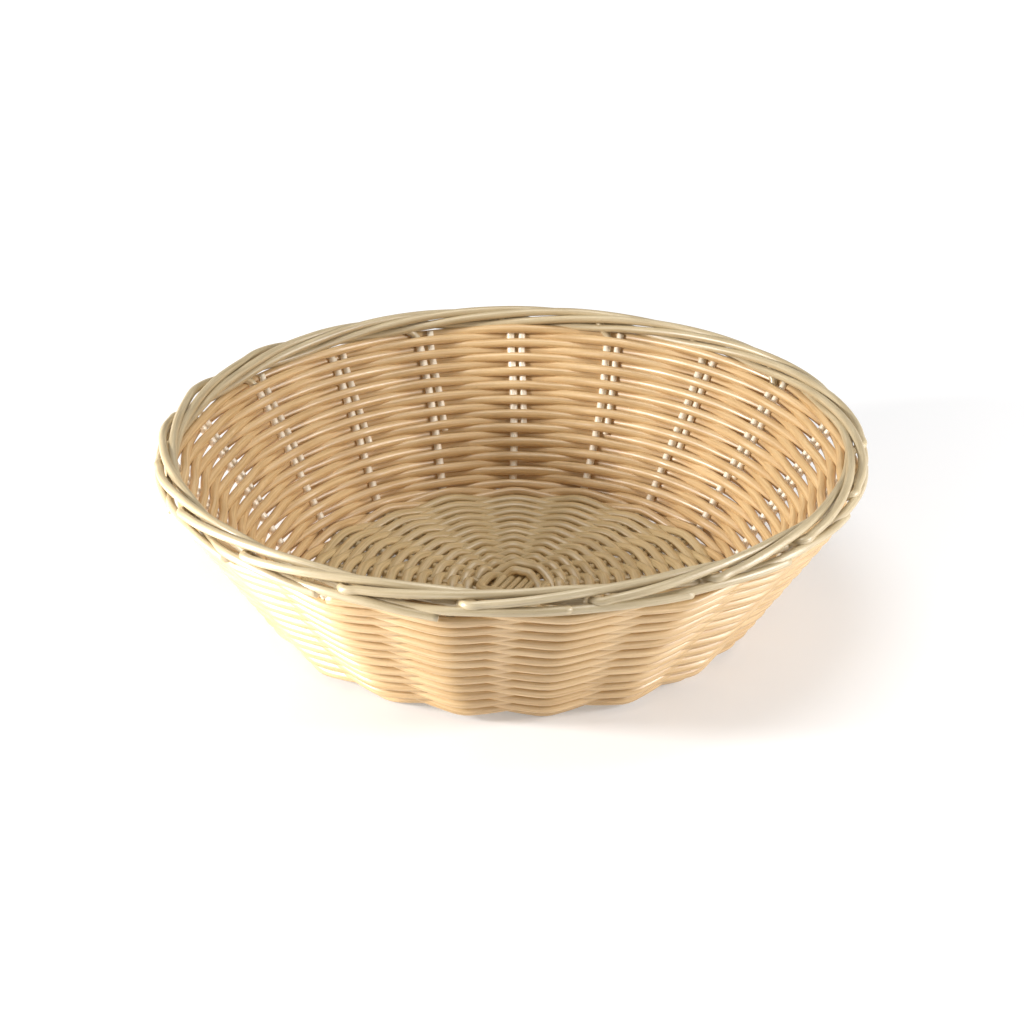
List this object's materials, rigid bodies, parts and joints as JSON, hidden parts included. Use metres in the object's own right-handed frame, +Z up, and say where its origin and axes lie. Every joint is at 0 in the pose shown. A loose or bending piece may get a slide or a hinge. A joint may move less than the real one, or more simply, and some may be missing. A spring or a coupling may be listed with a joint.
{
  "type": "bread basket",
  "caption": "Shallow round bread basket of plain-woven rattan-look cord, with a flat woven base, a flared scalloped wall and a rope-twist border.",
  "frame": {"origin": "centre of the face that the basket rests on, on the basket's axis", "axes": "+Z up along the basket's axis; +Y points from the middle to side_stake_01, and the stakes count clockwise from it seen from above"},
  "size_m": [0.2394, 0.2394, 0.0656],
  "materials": {
    "base_cord": "satin, faint streaks along the cord",
    "wall_cord": "satin, faint streaks along the cord",
    "border_cord": "satin, faint streaks along the cord"
  },
  "bodies": {
    "root": {"base_stick_01": "base_cord", "base_stick_02": "base_cord", "base_stick_03": "base_cord", "base_stick_04": "base_cord", "base_stick_05": "base_cord", "base_stick_06": "base_cord", "base_stick_07": "base_cord", "base_stick_08": "base_cord", "base_stick_09": "base_cord", "base_stick_10": "base_cord", "side_stake_01": "border_cord", "side_stake_02": "border_cord", "side_stake_03": "border_cord", "side_stake_04": "border_cord", "side_stake_05": "border_cord", "side_stake_06": "border_cord", "side_stake_07": "border_cord", "side_stake_08": "border_cord", "side_stake_09": "border_cord", "side_stake_10": "border_cord", "side_stake_11": "border_cord", "side_stake_12": "border_cord", "side_stake_13": "border_cord", "side_stake_14": "border_cord", "side_stake_15": "border_cord", "side_stake_16": "border_cord", "side_stake_17": "border_cord", "side_stake_18": "border_cord", "side_stake_19": "border_cord", "bye_stake_01": "wall_cord", "bye_stake_02": "wall_cord", "bye_stake_03": "wall_cord", "bye_stake_04": "wall_cord", "bye_stake_05": "wall_cord", "bye_stake_06": "wall_cord", "bye_stake_07": "wall_cord", "bye_stake_08": "wall_cord", "bye_stake_09": "wall_cord", "bye_stake_10": "wall_cord", "bye_stake_11": "wall_cord", "bye_stake_12": "wall_cord", "bye_stake_13": "wall_cord", "bye_stake_14": "wall_cord", "bye_stake_15": "wall_cord", "bye_stake_16": "wall_cord", "bye_stake_17": "wall_cord", "bye_stake_18": "wall_cord", "bye_stake_19": "wall_cord", "base_weave": "base_cord", "wall_weave": "wall_cord"}
  },
  "joints": []
}
